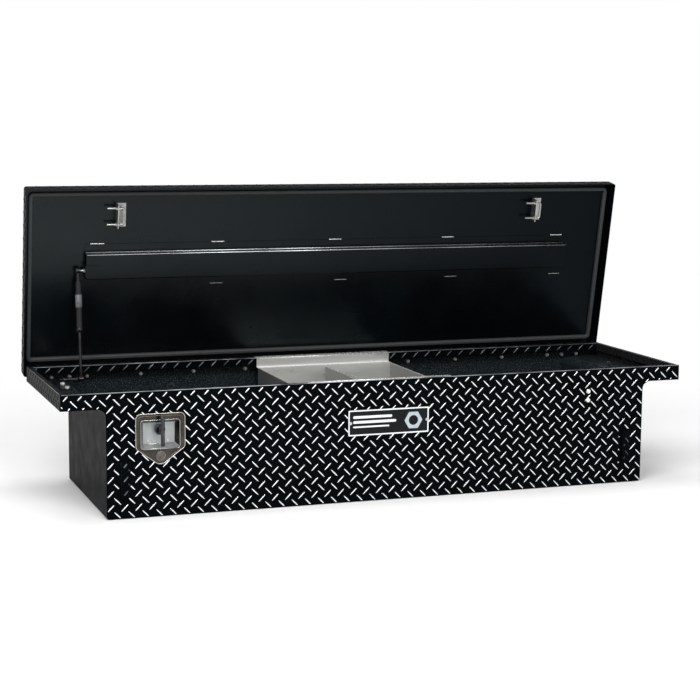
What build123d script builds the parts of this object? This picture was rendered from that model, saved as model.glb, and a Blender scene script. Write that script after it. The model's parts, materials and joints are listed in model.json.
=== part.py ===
"""Low-profile crossover truck tool box with one rear-hinged lid, in its own frame.

X runs along the box, Y from front (-) to back (+), Z up.  The origin is the centre of the
tub floor's underside.  The lid is drawn closed and then turned open about the hinge line.
"""
from build123d import *
import math
import os

# ---------------------------------------------------------------- driving dimensions (mm)
overall_length = 1778.0      # over the saddle wings, 70 in
overall_depth = 508.0        # front to back, 20 in
overall_height = 330.0       # floor to rim, 13 in
tub_length = 1546.0          # the part that drops between the bed rails
saddle_height = 288.0        # underside of the wings above the floor
sheet = 2.0                  # aluminium sheet of the box
corner_radius = 22.0         # bend between tub end and wing
base_corner = 7.0            # lower corners of front and back panel
front_lip = 13.0             # width of the rim at the front and the ends
rear_lip = 32.0              # width of the rim along the hinge side
lip_drop = 22.0              # height of the return flange under the rim

lid_length = 1792.0
lid_width = 538.0
lid_flange = 36.0
lid_sheet = 2.5
lid_top = 345.0              # height of the closed lid's outer face
lid_rear = 271.5             # outer rear edge of the closed lid
open_angle = 79.4            # how far the lid stands open in the drawn pose

hinge_y = 261.5              # hinge line
hinge_z = 307.5
knuckle_radius = 6.0
hinge_pin_radius = 1.6
hinge_length = 1700.0
knuckle_length = 25.0
leaf_thickness = 2.0
hinge_bolt_z = 296.0
hinge_rivet_z = 325.0        # rivets of the lid's leaf, lid closed

latch_x = -631.0             # centre of the handle on the front
handle_hub_z = 227.5         # axis of the T-handle's spindle
handle_pivot_y = -262.0      # pin on which the T-handle folds
handle_bar_y = -280.0        # cross bar of the T-handle, folded out
handle_bar_half = 38.7
boss_front = -252.0          # front of the spindle's round boss
lock_z = 160.0
dish_top = 272.0
dish_shoulder = 181.0
dish_tip = 132.0
dish_half_width = 66.0
recess_half_width = 51.5     # opening of the recess at the front
recess_bottom = 179.0
recess_top = 254.0
recess_floor = -236.0
recess_slope = 9.5           # how far each side comes in towards the floor
dish_sheet = 1.5

rod_y = -220.0               # connecting rod between the two latches
rod_z = 205.0
rod_radius = 3.0
lever_radius = 14.0          # spindle lever, centre to pin
rod_travel = 2 * lever_radius * math.sin(math.radians(45))
trigger_arm = 45.0
lever_slot_z = 216.0         # slot that the spindle lever's pin works in
trigger_swing = 2 * math.degrees(math.asin(rod_travel / 2 / trigger_arm))
trigger_z = 250.0
pawl_z = 292.0
pawl_reach = 26.0            # pawl pivot beside the striker bar
trigger_reach = 22.0         # trigger pivot beside the striker bar
pawl_swing = 55.0
left_bar_x = -622.0          # striker bars of the two latches
right_bar_x = 655.0
bar_z = 321.0                # striker bar with the lid closed
bar_front = -206.5
bar_back = -160.5
bar_radius = 3.2

stiffener_left = -724.0
stiffener_right = 758.0
stiffener_depth = 25.0
strut_x = -746.0
strut_upper = (-28.5, 327.0)     # ball on the lid, lid closed (y, z)
strut_lower = (200.0, 296.0)     # ball on the left wing (y, z)
ball_radius = 5.0
stud_radius = 3.0

tray_left = -229.0
tray_right = 181.0
tray_front = -228.0
tray_back = 205.0
tray_top = 302.4
tray_bottom = 216.0
tray_sheet = 1.6

running = 0.05               # radial clearance of pins in their holes

half_length = overall_length / 2
half_tub = tub_length / 2
front = -overall_depth / 2
back = overall_depth / 2
lid_front = lid_rear - lid_width
lid_under = lid_top - lid_sheet
hinge_line = Axis((0, hinge_y, hinge_z), (1, 0, 0))
hinge_bolts_x = [85.0, 255.0, 410.0, 565.0, 719.0, 769.0, 820.0]
saddle_hole_x = 852.0
saddle_hole_y = 180.0
saddle_hole_radius = 5.5
slave_bolt_x = 600.0
slave_bolt_z = (243.0, 268.0)
louvre_x = (-735.0, 709.0)
louvre_z = (58.0, 150.0)


# ---------------------------------------------------------------- helpers
def block(x, y, z):
    """A box between two corners: each argument is (low, high)."""
    size = (x[1] - x[0], y[1] - y[0], z[1] - z[0])
    centre = ((x[0] + x[1]) / 2, (y[0] + y[1]) / 2, (z[0] + z[1]) / 2)
    return Pos(*centre) * Box(*size)


def round_x(x, y, z, radius):
    """A round bar along X from x[0] to x[1], centred at (y, z)."""
    return Pos((x[0] + x[1]) / 2, y, z) * Rot(0, 90, 0) * Cylinder(radius, x[1] - x[0])


def round_y(x, y, z, radius):
    """A round bar along Y from y[0] to y[1], centred at (x, z)."""
    return Pos(x, (y[0] + y[1]) / 2, z) * Rot(90, 0, 0) * Cylinder(radius, y[1] - y[0])


def round_z(x, y, z, radius):
    """A round bar along Z from z[0] to z[1], centred at (x, y)."""
    return Pos(x, y, (z[0] + z[1]) / 2) * Cylinder(radius, z[1] - z[0])


def hex_y(x, y, z, across):
    """A hexagonal prism along Y, such as a nut or a bolt head."""
    outline = Plane.XZ * Pos(x, z) * RegularPolygon(across / 2, 6, major_radius=False)
    return Pos(0, y[1], 0) * extrude(outline, y[1] - y[0])


def hex_x(x, y, z, across):
    """A hexagonal prism along X."""
    outline = Plane.YZ * Pos(y, z) * RegularPolygon(across / 2, 6, major_radius=False)
    return Pos(x[0], 0, 0) * extrude(outline, x[1] - x[0])


def hex_z(x, y, z, across):
    """A hexagonal prism along Z."""
    outline = Pos(x, y) * RegularPolygon(across / 2, 6, major_radius=False)
    return Pos(0, 0, z[0]) * extrude(outline, z[1] - z[0])


def plate_xz(outline, y):
    """Extrude a sketch drawn in (X, Z) between two Y values."""
    return extrude(Plane.XZ.offset(-y[1]) * outline, y[1] - y[0])


def edges_at(shape, axis, y=None, z=None, x=None):
    """Edges parallel to an axis whose centre has the given coordinates."""
    wanted = [(0, x), (1, y), (2, z)]

    def matches(edge):
        centre = edge.center()
        place = (centre.X, centre.Y, centre.Z)
        return all(value is None or abs(place[i] - value) < 0.01 for i, value in wanted)

    return shape.edges().filter_by(axis).filter_by(matches)


def opened(shape):
    """Turn a piece of the closed lid to the drawn, open pose."""
    return shape.rotate(hinge_line, -open_angle)


def opened_point(y, z):
    """The (y, z) place that a point of the closed lid takes in the drawn pose."""
    turn = math.radians(-open_angle)
    dy = y - hinge_y
    dz = z - hinge_z
    return (hinge_y + dy * math.cos(turn) - dz * math.sin(turn),
            hinge_z + dy * math.sin(turn) + dz * math.cos(turn))


def save(name, *solids):
    """Write one node; several solids go into it as separate bodies."""
    shape = solids[0] if len(solids) == 1 else Compound(children=list(solids))
    export_step(shape, os.path.join("parts", name + ".step"))


# ---------------------------------------------------------------- box panels
def t_outline():
    """The T-shaped outline that the front and back panels share."""
    corners = [(-half_tub, 0), (half_tub, 0), (half_tub, saddle_height),
               (half_length, saddle_height), (half_length, overall_height),
               (-half_length, overall_height), (-half_length, saddle_height),
               (-half_tub, saddle_height)]
    face = make_face(Polyline(*corners, close=True))
    inner = [v for v in face.vertices() if abs(v.X) < half_tub + 1 and v.Y > 1]
    face = fillet(inner, corner_radius)
    lower = [v for v in face.vertices() if v.Y < 1]
    return fillet(lower, base_corner)


def rim(y_outer, y_inner):
    """The folded rim along a long panel, with its return flange."""
    y_low, y_high = sorted((y_outer, y_inner))
    inward = math.copysign(sheet, y_outer)
    flange_y = sorted((y_inner, y_inner + inward))
    shelf = block((-half_length, half_length), (y_low, y_high), (overall_height - sheet, overall_height))
    flange = block((-half_length + front_lip, half_length - front_lip), flange_y,
                   (overall_height - lip_drop, overall_height))
    return shelf + flange


def louvre_hood(x):
    """A pressed ventilation hood whose slot faces -X."""
    def profile(x_start, reach, depth, base):
        rise = Polyline((x_start + reach, front), (x_start + reach, base), (x_start, base),
                        (x_start, front - depth))
        slope = ThreePointArc((x_start, front - depth),
                              (x_start + reach * 0.55, front - depth * 0.62), (x_start + reach, front))
        return make_face(Curve() + [rise, slope])

    z_low, z_high = louvre_z
    outer = Pos(0, 0, z_low) * extrude(profile(x, 27, 8.5, front + 1), z_high - z_low)
    inner = Pos(0, 0, z_low + sheet) * extrude(profile(x - 0.5, 24, 6.5, front + sheet + 1),
                                               z_high - z_low - 2 * sheet)
    return outer, inner


def front_panel():
    panel = plate_xz(t_outline(), (front, front + sheet)) + rim(front, front + front_lip)
    panel = fillet(edges_at(panel, Axis.X, y=front, z=overall_height), 2.5)
    window = recess_half_width + dish_sheet + 1.5
    panel -= block((latch_x - window, latch_x + window), (front - 1, front + sheet + 1),
                   (recess_bottom - dish_sheet - 1.5, recess_top + dish_sheet + 1.5))
    panel -= round_y(latch_x, (front - 1, front + sheet + 1), lock_z, 11.2)
    for z in slave_bolt_z:
        panel -= round_y(slave_bolt_x, (front - 1, front + sheet + 1), z, 3.5)
    for x in louvre_x:
        outer, inner = louvre_hood(x)
        panel = panel + outer - inner
    return panel


def back_panel():
    panel = plate_xz(t_outline(), (back - sheet, back)) + rim(back, back - rear_lip)
    for x in hinge_bolts_x:
        for side in (-1, 1):
            panel -= round_y(side * x, (back - sheet - 1, back + 1), hinge_bolt_z, 3.25)
    return fillet(edges_at(panel, Axis.X, y=back, z=overall_height), 2.5)


def bend(centre, x, z, inner_radius):
    """A quarter bend of the sheet about (X, Z) centre, kept inside the x and z ranges."""
    depth = (front + sheet, back - sheet)
    ring = round_y(centre[0], depth, centre[1], inner_radius + sheet)
    ring -= round_y(centre[0], depth, centre[1], inner_radius)
    return ring & block(x, depth, z)


def end_wall(side):
    """Tub end, bent in to meet the floor and bent out to lead under the wing."""
    low = base_corner
    high = saddle_height - corner_radius
    inside = half_tub - sheet
    wing_x = half_tub + corner_radius
    floor_x = half_tub - base_corner
    wall = block((inside, half_tub), (front + sheet, back - sheet), (low, high))
    wall += bend((wing_x, high), (inside, wing_x), (high, saddle_height + sheet), corner_radius)
    wall += bend((floor_x, low), (floor_x, half_tub), (0, low), base_corner - sheet)
    return wall if side > 0 else mirror(wall, Plane.YZ)


def saddle_floor(side):
    """Floor of a wing, which rests on the bed rail, with its two mounting holes."""
    floor = block((half_tub + corner_radius, half_length - sheet), (front + sheet, back - sheet),
                  (saddle_height, saddle_height + sheet))
    for y in (-saddle_hole_y, saddle_hole_y):
        floor -= round_z(saddle_hole_x, y, (saddle_height - 1, saddle_height + sheet + 1), saddle_hole_radius)
    return floor if side > 0 else mirror(floor, Plane.YZ)


def saddle_end(side):
    """Outer end of a wing with its folded rim and return flange."""
    x_out = half_length
    x_in = half_length - front_lip
    wall = block((x_out - sheet, x_out), (front + sheet, back - sheet), (saddle_height, overall_height - sheet))
    shelf = block((x_in, x_out), (front + front_lip, back - rear_lip),
                  (overall_height - sheet, overall_height))
    flange = block((x_in, x_in + sheet), (front + front_lip, back - rear_lip),
                   (overall_height - lip_drop, overall_height))
    end = wall + shelf + flange
    return end if side > 0 else mirror(end, Plane.YZ)


def tub_floor():
    reach = half_tub - base_corner
    return block((-reach, reach), (front + sheet, back - sheet), (0, sheet))


# ---------------------------------------------------------------- badge
badge_centre = (-1.0, 215.5)
badge_size = (233.0, 71.0)


def badge_plate():
    outline = Pos(*badge_centre) * RectangleRounded(*badge_size, 3)
    plate = plate_xz(outline, (front - 1.6, front))
    for side in (-1, 1):
        plate -= round_y(badge_centre[0] + side * 110, (front - 3, front + 1), badge_centre[1], 1.65)
    return plate


def badge_rivets():
    rivets = []
    for side in (-1, 1):
        x = badge_centre[0] + side * 110
        head = Pos(x, front - 1.6, badge_centre[1]) * Rot(90, 0, 0) * Sphere(4.5)
        head &= block((x - 5, x + 5), (front - 4.2, front - 1.6), (badge_centre[1] - 5, badge_centre[1] + 5))
        rivets.append(head + round_y(x, (front - 1.6, front), badge_centre[1], 1.6))
    return rivets


# ---------------------------------------------------------------- handle and lock
def dish_outline():
    corners = [(-dish_half_width, dish_top), (dish_half_width, dish_top), (dish_half_width, dish_shoulder),
               (0, dish_tip), (-dish_half_width, dish_shoulder)]
    face = make_face(Polyline(*corners, close=True))
    tip = [v for v in face.vertices() if v.Y < dish_tip + 1]
    face = fillet(tip, 22)
    shoulders = [v for v in face.vertices() if abs(abs(v.X) - dish_half_width) < 0.1]
    return Pos(latch_x, 0) * fillet(shoulders, 13)


def recess_block(y, margin):
    """Tapering block of the recess's shape, grown by a margin all round."""
    wide = plate_rectangle(recess_half_width + margin, recess_bottom - margin, recess_top + margin, 9)
    narrow = plate_rectangle(recess_half_width - recess_slope + margin, recess_bottom + recess_slope - margin,
                             recess_top - recess_slope + margin, 4)
    return loft([Plane.XZ.offset(-y[0]) * wide, Plane.XZ.offset(-y[1]) * narrow], ruled=True)


def plate_rectangle(half_width, z_low, z_high, radius):
    """Rounded rectangle about the latch's centre line, drawn in (X, Z)."""
    return Pos(latch_x, (z_low + z_high) / 2) * RectangleRounded(2 * half_width, z_high - z_low, radius)


def latch_dish():
    """Shield-shaped pressed plate with the tapering recess behind the handle."""
    face_front = front - sheet
    plate = plate_xz(dish_outline(), (face_front, front))
    plate = chamfer(plate.edges().group_by(Axis.Y)[0], 0.8)
    pan = recess_block((front, recess_floor + dish_sheet), dish_sheet)
    opening = plate_rectangle(recess_half_width, recess_bottom, recess_top, 9)
    dish = plate + pan - plate_xz(opening, (face_front - 1, front)) - recess_block((front, recess_floor), 0)
    dish += round_y(latch_x, (recess_floor - 2, recess_floor), handle_hub_z, 16.5)
    dish -= round_y(latch_x, (recess_floor - 3, recess_floor + 3), handle_hub_z, 6.0 + running)
    dish -= round_y(latch_x, (face_front - 1, front + 1), lock_z, 11.2)
    return dish


def recess_rivets():
    """Three round rivet heads on the recess floor."""
    rivets = []
    for dx in (-29.0, -15.0, 23.0):
        head = Pos(latch_x + dx, recess_floor, 197.0) * Sphere(3.4)
        rivets.append(head & block((latch_x - 60, latch_x + 60), (recess_floor - 2.2, recess_floor), (180, 215)))
    return rivets


def handle_spindle():
    """Turning spindle: a round boss and the two ears that carry the folding T-handle."""
    boss = round_y(latch_x, (boss_front, recess_floor - 2.2), handle_hub_z, 14)
    boss = fillet(boss.edges().group_by(Axis.Y)[0], 2)
    ears = block((latch_x - 7, latch_x + 7), (handle_pivot_y, boss_front + 1), (handle_hub_z - 10.5, handle_hub_z + 10.5))
    ears += round_z(latch_x, handle_pivot_y, (handle_hub_z - 10.5, handle_hub_z + 10.5), 7)
    ears -= block((latch_x - 8, latch_x + 8), (handle_pivot_y - 8, boss_front), (handle_hub_z - 5.7, handle_hub_z + 5.7))
    shaft = round_y(latch_x, (recess_floor - 2.2, -225), handle_hub_z, 6.0)
    shaft += round_y(latch_x, (-225, -206), handle_hub_z, 3.5)
    spindle = boss + ears + shaft
    return spindle - round_z(latch_x, handle_pivot_y, (handle_hub_z - 12, handle_hub_z + 12), 2.5)


def handle_pin():
    return round_z(latch_x, handle_pivot_y, (handle_hub_z - 10.5, handle_hub_z + 10.5), 2.5)


def t_handle():
    """Short flat stem with a round cross bar, folded out on its pin and turned upright."""
    stem = block((latch_x - 4, latch_x + 4), (handle_bar_y, handle_pivot_y), (handle_hub_z - 5.5, handle_hub_z + 5.5))
    eye = round_z(latch_x, handle_pivot_y, (handle_hub_z - 5.5, handle_hub_z + 5.5), 6.2)
    ends = (handle_hub_z - handle_bar_half, handle_hub_z + handle_bar_half)
    bar = round_z(latch_x, handle_bar_y, ends, 5.2)
    bar = fillet(bar.edges().group_by(Axis.Z)[0] + bar.edges().group_by(Axis.Z)[-1], 2.5)
    handle = stem + eye + bar
    return handle - round_z(latch_x, handle_pivot_y, (handle_hub_z - 6, handle_hub_z + 6), 2.5 + running)


def spindle_lever():
    """Short lever on the spindle; its pin drives the connecting rod."""
    swing = math.radians(45)
    pin_x = latch_x - lever_radius * math.sin(swing)
    pin_z = handle_hub_z - lever_radius * math.cos(swing)
    lever_y = (-216.5, -213.5)
    lever = round_y(latch_x, lever_y, handle_hub_z, 9) + round_y(pin_x, lever_y, pin_z, 5)
    lever += round_y(pin_x, (-222.6, -213.5), pin_z, 2.5)
    return lever - round_y(latch_x, (-220, -210), handle_hub_z, 3.52)


def lock_housing():
    bezel = round_y(latch_x, (front - 5.5, front - sheet), lock_z, 14)
    bezel = fillet(bezel.edges().group_by(Axis.Y)[0], 1.5)
    barrel = round_y(latch_x, (front - sheet, -232.5), lock_z, 11)
    return bezel + barrel - round_y(latch_x, (front - 10, -230), lock_z, 7.5 + running)


def lock_plug():
    plug = round_y(latch_x, (front - 5, -232), lock_z, 7.5)
    key_slot = block((latch_x - 0.7, latch_x + 0.7), (front - 6, front + 2), (lock_z - 4.5, lock_z + 4.5))
    return plug - key_slot


def lock_cam():
    cam_y = (-232, -229)
    return round_y(latch_x, cam_y, lock_z, 8) + block((latch_x - 4, latch_x + 4), cam_y, (lock_z - 20, lock_z))


# ---------------------------------------------------------------- connecting rod
rod_left_x = latch_x - rod_travel / 2


def rod_eye(x):
    """Flat eye on the rod with a tall slot for a trigger's pin."""
    eye = block((x - 7, x + 7), (rod_y - 2, rod_y + 2), (rod_z - 7.4, rod_z + 7.4))
    return eye - block((x - 3.1, x + 3.1), (rod_y - 3, rod_y + 3), (rod_z - 5.1, rod_z + 5.1))


def connecting_rod():
    """Round rod with a flat left end, which carries the drive plate, and two eyes."""
    eyes = [bar_x + trigger_reach - rod_travel / 2 for bar_x in (left_bar_x, right_bar_x)]
    rod = block((rod_left_x - 7, rod_left_x + 7), (rod_y - 2, rod_y + 2), (rod_z - 4, rod_z + 3))
    for x in eyes:
        rod += rod_eye(x)
    for span in ((rod_left_x + 6.5, eyes[0] - 6.5), (eyes[0] + 6.5, eyes[1] - 6.5)):
        rod += round_x(span, rod_y, rod_z, rod_radius)
    return rod


def rod_drive_plate():
    """Upright slotted plate welded on the rod's left end; the spindle lever's pin moves it."""
    x = rod_left_x
    plate = block((x - 7, x + 7), (rod_y - 2, rod_y + 2), (rod_z + 3, lever_slot_z + 7.4))
    return plate - block((x - 3.1, x + 3.1), (rod_y - 3, rod_y + 3), (lever_slot_z - 5.1, lever_slot_z + 5.1))


def rod_guides():
    guides = []
    for x in (-320.0, 0.0, 320.0):
        arm = block((x - 1.25, x + 1.25), (front + sheet, rod_y + 6), (rod_z - 8, rod_z + 8))
        foot = block((x - 1.25, x + 18), (front + sheet, front + sheet + 2), (rod_z - 14, rod_z + 14))
        guides.append(arm + foot - round_x((x - 3, x + 3), rod_y, rod_z, rod_radius + 0.3))
    return guides


# ---------------------------------------------------------------- rotary latches
bracket_y = (-211.0, -208.5)


def latch_bracket(bar_x, x_low, x_high):
    """Folded bracket behind the front panel that carries one latch."""
    plate = block((x_low, x_high), bracket_y, (176, 304))
    sides = block((x_low, x_low + 2.5), (front + sheet, bracket_y[1]), (176, 304))
    sides += block((x_high - 2.5, x_high), (front + sheet, bracket_y[1]), (176, 304))
    bracket = plate + sides
    bracket -= round_y(bar_x + pawl_reach, (-215, -205), pawl_z, 4.0)
    bracket -= round_y(bar_x + trigger_reach, (-215, -205), trigger_z, 3.0)
    bracket -= block((bar_x + 12, bar_x + 34), (-215, -205), (264, 277))
    bracket -= block((x_low - 1, x_high + 1), (-226, -211.1), (rod_z - 12, rod_z + 12))
    return bracket


def left_latch_bracket():
    bracket = latch_bracket(left_bar_x, -690, -572)
    return bracket - round_y(latch_x, (-215, -205), handle_hub_z, 3.5 + running)


def right_latch_bracket():
    bracket = latch_bracket(right_bar_x, 612, 706)
    foot = block((588, 613), (front + sheet, front + sheet + 2.5), (230, 281))
    for z in slave_bolt_z:
        foot -= round_y(slave_bolt_x, (front, front + 6), z, 3.5)
    return bracket + foot


def slave_latch_bolts():
    """Two button-head bolts with nuts that hold the right-hand latch."""
    bolts = []
    for z in slave_bolt_z:
        head = round_y(slave_bolt_x, (front - 4.5, front), z, 6.5)
        head = fillet(head.edges().group_by(Axis.Y)[0], 3.5)
        shank = round_y(slave_bolt_x, (front, front + 12), z, 3.2)
        nut = hex_y(slave_bolt_x, (front + 4.5, front + 9.5), z, 11)
        bolts.append(head + shank + nut)
    return bolts


def pawl(bar_x):
    """Hooked pawl, drawn swung clear of the striker bar."""
    pivot_x = bar_x + pawl_reach
    rise = bar_z - pawl_z
    arm = Pos(-10, 16) * Rot(0, 0, 122) * SlotCenterToCenter(30, 15)
    hook = arm + Circle(11) + Pos(-pawl_reach, rise) * Circle(10)
    tooth = Pos(3, -9) * Rectangle(8, 14)
    mouth = Pos(-pawl_reach, rise) * Circle(4.7)
    mouth += Pos(-pawl_reach - 10, rise - 9) * Rot(0, 0, 42) * Rectangle(27, 9.4)
    outline = hook + tooth - mouth - Circle(4.0 + running)
    latched = plate_xz(Pos(pivot_x, pawl_z) * outline, (-200, -195))
    return latched.rotate(Axis((pivot_x, 0, pawl_z), (0, 1, 0)), pawl_swing)


def trigger(bar_x):
    """Release lever between the connecting rod and the pawl."""
    pivot_x = bar_x + trigger_reach
    trigger_y = (-216.5, -213.5)
    low_end = trigger_z - trigger_arm
    arm = block((pivot_x - 5, pivot_x + 5), trigger_y, (low_end, trigger_z + 20))
    arm += round_y(pivot_x, trigger_y, low_end, 5) + round_y(pivot_x, trigger_y, trigger_z, 8)
    arm += round_y(pivot_x, trigger_y, trigger_z + 20, 5)
    arm += round_y(pivot_x, (-222.6, -213.5), low_end, 2.5)
    arm += round_y(pivot_x, (-213.5, -196), trigger_z + 20, 2.5)
    arm -= round_y(pivot_x, (-220, -210), trigger_z, 3.0 + running)
    return arm.rotate(Axis((pivot_x, 0, trigger_z), (0, 1, 0)), trigger_swing / 2)


def latch_pins(bar_x):
    """Pivot pins of the pawl and of the trigger, headed at the free end."""
    pawl_pin = round_y(bar_x + pawl_reach, (-211, -194.5), pawl_z, 4.0)
    pawl_pin += round_y(bar_x + pawl_reach, (-194.5, -192.5), pawl_z, 6.5)
    pawl_pin += round_y(bar_x + pawl_reach, (-208.5, -200.5), pawl_z, 6.0)
    trigger_pin = round_y(bar_x + trigger_reach, (-217, -208.5), trigger_z, 3.0)
    trigger_pin += round_y(bar_x + trigger_reach, (-219, -217), trigger_z, 5.0)
    return [pawl_pin, trigger_pin]


# ---------------------------------------------------------------- hinge
def knuckles(first):
    """Every other knuckle of the piano hinge, starting with the given one."""
    count = int(hinge_length / knuckle_length)
    places = []
    for i in range(first, count, 2):
        x = -hinge_length / 2 + i * knuckle_length
        places.append((x + 0.25, x + knuckle_length - 0.25))
    return places


def hinge_leaf(first, y, z_plate, z_tab):
    leaf = block((-hinge_length / 2, hinge_length / 2), y, z_plate)
    pieces = []
    for span in knuckles(first):
        tab = block(span, y, z_tab)
        pieces.append(tab + round_x(span, hinge_y, hinge_z, knuckle_radius))
    leaf = leaf + pieces
    bore = round_x((-hinge_length / 2 - 1, hinge_length / 2 + 1), hinge_y, hinge_z, hinge_pin_radius + running)
    return leaf - bore


def hinge_body_leaf():
    leaf = hinge_leaf(0, (back, back + leaf_thickness), (280, 300.5), (300, hinge_z))
    for x in hinge_bolts_x:
        for side in (-1, 1):
            leaf -= round_y(side * x, (back - 1, back + 4), hinge_bolt_z, 3.25)
    return leaf


def hinge_lid_leaf():
    y_out = lid_rear - lid_sheet
    leaf = hinge_leaf(1, (y_out - leaf_thickness, y_out), (314.5, 334), (hinge_z, 315))
    for x in hinge_bolts_x:
        for side in (-1, 1):
            leaf -= round_y(side * x, (y_out - 4, y_out + 1), hinge_rivet_z, 2.5)
    return leaf


def hinge_pin():
    return round_x((-hinge_length / 2, hinge_length / 2), hinge_y, hinge_z, hinge_pin_radius)


def hinge_bolts():
    bolts = []
    for x in sorted([-v for v in hinge_bolts_x] + hinge_bolts_x):
        head_y = back + leaf_thickness
        head = round_y(x, (head_y, head_y + 3.5), hinge_bolt_z, 5.2)
        head = fillet(head.edges().group_by(Axis.Y)[-1], 2.5)
        bolts.append(head + round_y(x, (back - 9, head_y), hinge_bolt_z, 3.0))
    return bolts


def hinge_nuts():
    nuts = []
    for x in sorted([-v for v in hinge_bolts_x] + hinge_bolts_x):
        seat = back - sheet
        nut = hex_y(x, (seat - 5, seat), hinge_bolt_z, 10)
        cap = Pos(x, seat - 5, hinge_bolt_z) * Sphere(4.9)
        nut += cap & block((x - 6, x + 6), (seat - 12, seat - 5), (280, 305))
        nuts.append(nut - round_y(x, (back - 9.05, back), hinge_bolt_z, 3.03))
    return nuts


def hinge_rivets():
    rivets = []
    for x in sorted([-v for v in hinge_bolts_x] + hinge_bolts_x):
        head = Pos(x, lid_rear, hinge_rivet_z) * Sphere(4.6)
        head &= block((x - 5, x + 5), (lid_rear, lid_rear + 2.4), (hinge_rivet_z - 5, hinge_rivet_z + 5))
        tail_y = lid_rear - lid_sheet - leaf_thickness
        shank = round_y(x, (tail_y, lid_rear), hinge_rivet_z, 2.4)
        tail = round_y(x, (tail_y - 1.5, tail_y), hinge_rivet_z, 4)
        rivets.append(opened(head + shank + tail))
    return rivets


# ---------------------------------------------------------------- lid
def lid_skin():
    size_x = (-lid_length / 2, lid_length / 2)
    outer = block(size_x, (lid_front, lid_rear), (lid_top - lid_flange, lid_top))
    outer = fillet(outer.edges().filter_by(Axis.Z), 7)
    outer = fillet(outer.edges().group_by(Axis.Z)[-1], 3)
    inner = block((size_x[0] + lid_sheet, size_x[1] - lid_sheet), (lid_front + lid_sheet, lid_rear - lid_sheet),
                  (lid_top - lid_flange - 1, lid_under))
    inner = fillet(inner.edges().filter_by(Axis.Z), 4.5)
    skin = outer - inner
    for x in hinge_bolts_x:
        for side in (-1, 1):
            skin -= round_y(side * x, (lid_rear - lid_sheet - 1, lid_rear + 1), hinge_rivet_z, 2.5)
    return skin


def lid_stiffener():
    """Hat-section stiffener along the middle of the lid, about 70 mm wide on its face."""
    y_rear = lid_rear - 250
    y_front = lid_rear - 372
    face_rear = lid_rear - 275
    face_front = lid_rear - 347
    wall = 2.0
    z_face = lid_under - stiffener_depth
    span = (stiffener_left, stiffener_right)
    hat = block(span, (y_front, y_rear), (lid_under - wall, lid_under))
    hat += block(span, (face_front, face_rear), (z_face, lid_under))
    hat = fillet(edges_at(hat, Axis.X, z=z_face), 3)
    return hat - block((span[0] - 1, span[1] + 1), (face_front + wall, face_rear - wall), (z_face + wall, lid_under + 1))


def lid_seal():
    """Bulb seal round the inside of the lid, drawn at its pressed height."""
    half_x = 878.0
    y_front = lid_rear - 515.5
    y_rear = lid_rear - 40.0
    width = 12.0
    height = 10.2
    centre_y = (y_front + y_rear) / 2
    depth = y_rear - y_front
    outer = RectangleRounded(2 * half_x + width, depth + width, 14)
    inner = RectangleRounded(2 * half_x - width, depth - width, 4)
    ring = Pos(0, centre_y, lid_under - height) * extrude(outer - inner, height)
    return fillet(ring.edges().group_by(Axis.Z)[0], 4.5)


def striker_bracket(bar_x):
    """Base plate on the lid and a leg that carries the U-bolt."""
    leg_x = bar_x - 18
    y = (lid_rear - 489, lid_rear - 422)
    base = block((leg_x, leg_x + 28), y, (lid_under - 2.5, lid_under))
    leg = block((leg_x, leg_x + 2.5), y, (lid_under - 30, lid_under))
    bracket = base + leg
    for side in (bar_front, bar_back):
        bracket -= round_x((leg_x - 1, leg_x + 4), side, bar_z, bar_radius + 0.2)
    for y_screw in (lid_rear - 476, lid_rear - 435):
        bracket -= round_z(leg_x + 19, y_screw, (lid_under - 4, lid_under + 1), 2.5)
    return bracket


def striker_bolt(bar_x):
    """U-bolt: two threaded legs along X and the striker bar that joins them."""
    tip_x = bar_x - 47
    line = FilletPolyline((tip_x, bar_front, bar_z), (bar_x, bar_front, bar_z),
                          (bar_x, bar_back, bar_z), (tip_x, bar_back, bar_z), radius=5)
    section = Plane(origin=line @ 0, z_dir=line % 0) * Circle(bar_radius)
    return sweep(section, path=line)


def striker_nuts(bar_x):
    leg_x = bar_x - 18
    nuts = []
    for y in (bar_front, bar_back):
        for x in ((leg_x - 5, leg_x), (leg_x + 2.5, leg_x + 7.5)):
            nuts.append(hex_x(x, y, bar_z, 10) - round_x((x[0] - 1, x[1] + 1), y, bar_z, bar_radius + 0.03))
    return nuts


def striker_screws(bar_x):
    screws = []
    for y in (lid_rear - 476, lid_rear - 435):
        head = round_z(bar_x + 1, y, (lid_under - 5.5, lid_under - 2.5), 4.6)
        head = fillet(head.edges().group_by(Axis.Z)[0], 1.5)
        screws.append(head + round_z(bar_x + 1, y, (lid_under - 2.5, lid_under), 2.4))
    return screws


# ---------------------------------------------------------------- gas strut
upper_open = opened_point(*strut_upper)
strut_length = math.dist(upper_open, strut_lower)
strut_lean = math.degrees(math.atan2(upper_open[0] - strut_lower[0], upper_open[1] - strut_lower[1]))


def along_strut(shape):
    """Place a shape drawn down -Z from the upper ball onto the strut's line."""
    return Pos(strut_x, upper_open[0], upper_open[1]) * Rot(-strut_lean, 0, 0) * shape


def strut_upper_bracket():
    """Angle bracket on the left end of the stiffener."""
    face_z = lid_under - stiffener_depth
    y = (lid_rear - 316, lid_rear - 284)
    ear = block((stiffener_left - 3, stiffener_left - 0.5), y, (face_z - 2.5, lid_under - 3))
    foot = block((stiffener_left - 3, stiffener_left + 36), y, (face_z - 2.5, face_z))
    return ear + foot - round_x((stiffener_left - 5, stiffener_left + 1), *strut_upper, stud_radius)


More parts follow.
